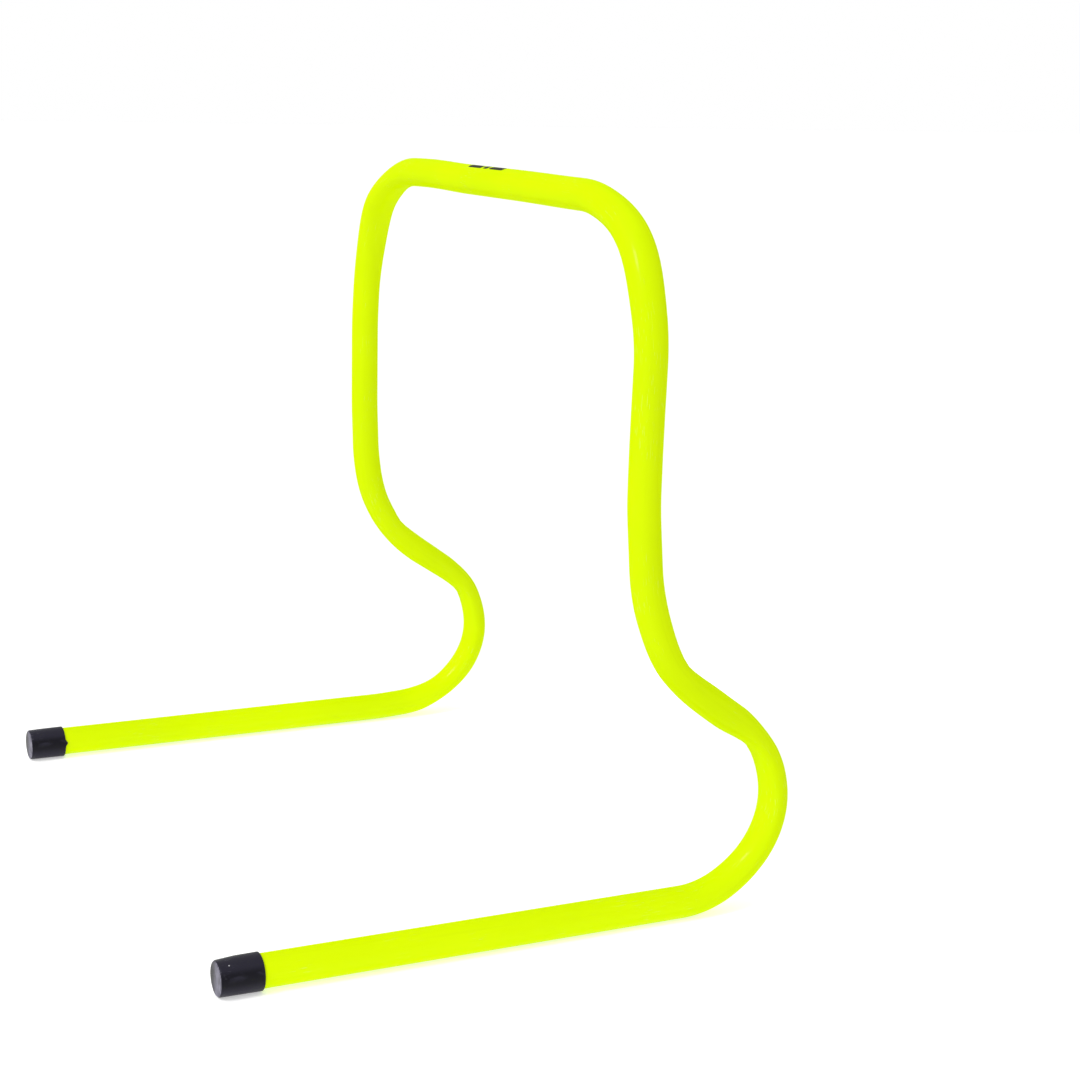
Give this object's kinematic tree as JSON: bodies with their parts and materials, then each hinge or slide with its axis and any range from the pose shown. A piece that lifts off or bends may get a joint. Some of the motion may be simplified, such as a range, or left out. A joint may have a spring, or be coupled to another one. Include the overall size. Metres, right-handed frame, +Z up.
{
  "type": "agility hurdle",
  "caption": "Free-standing agility hurdle: a bent plastic tube with long ground feet, reversed curves up to a straight crossbar, and soft push-on end caps.",
  "frame": {"origin": "on the floor, under the middle of the hurdle's overall box", "axes": "+Z up, +X along the crossbar to the hurdle's right, -Y forwards, the way the feet point"},
  "size_m": [0.5024, 0.3879, 0.4701],
  "materials": {
    "tube_plastic": "satin",
    "cap_vinyl": "satin",
    "print_ink": "matte"
  },
  "bodies": {
    "frame": {"tube": "tube_plastic"},
    "left_cap": {"left_cap": "cap_vinyl"},
    "right_cap": {"right_cap": "cap_vinyl"}
  },
  "joints": [
    {"name": "left_cap_pull", "type": "slide", "parent": "frame", "child": "left_cap", "axis": [0, -1, 0.0037], "range_m": [0, 0.03]},
    {"name": "right_cap_pull", "type": "slide", "parent": "frame", "child": "right_cap", "axis": [0, -1, 0.0037], "range_m": [0, 0.03]}
  ]
}
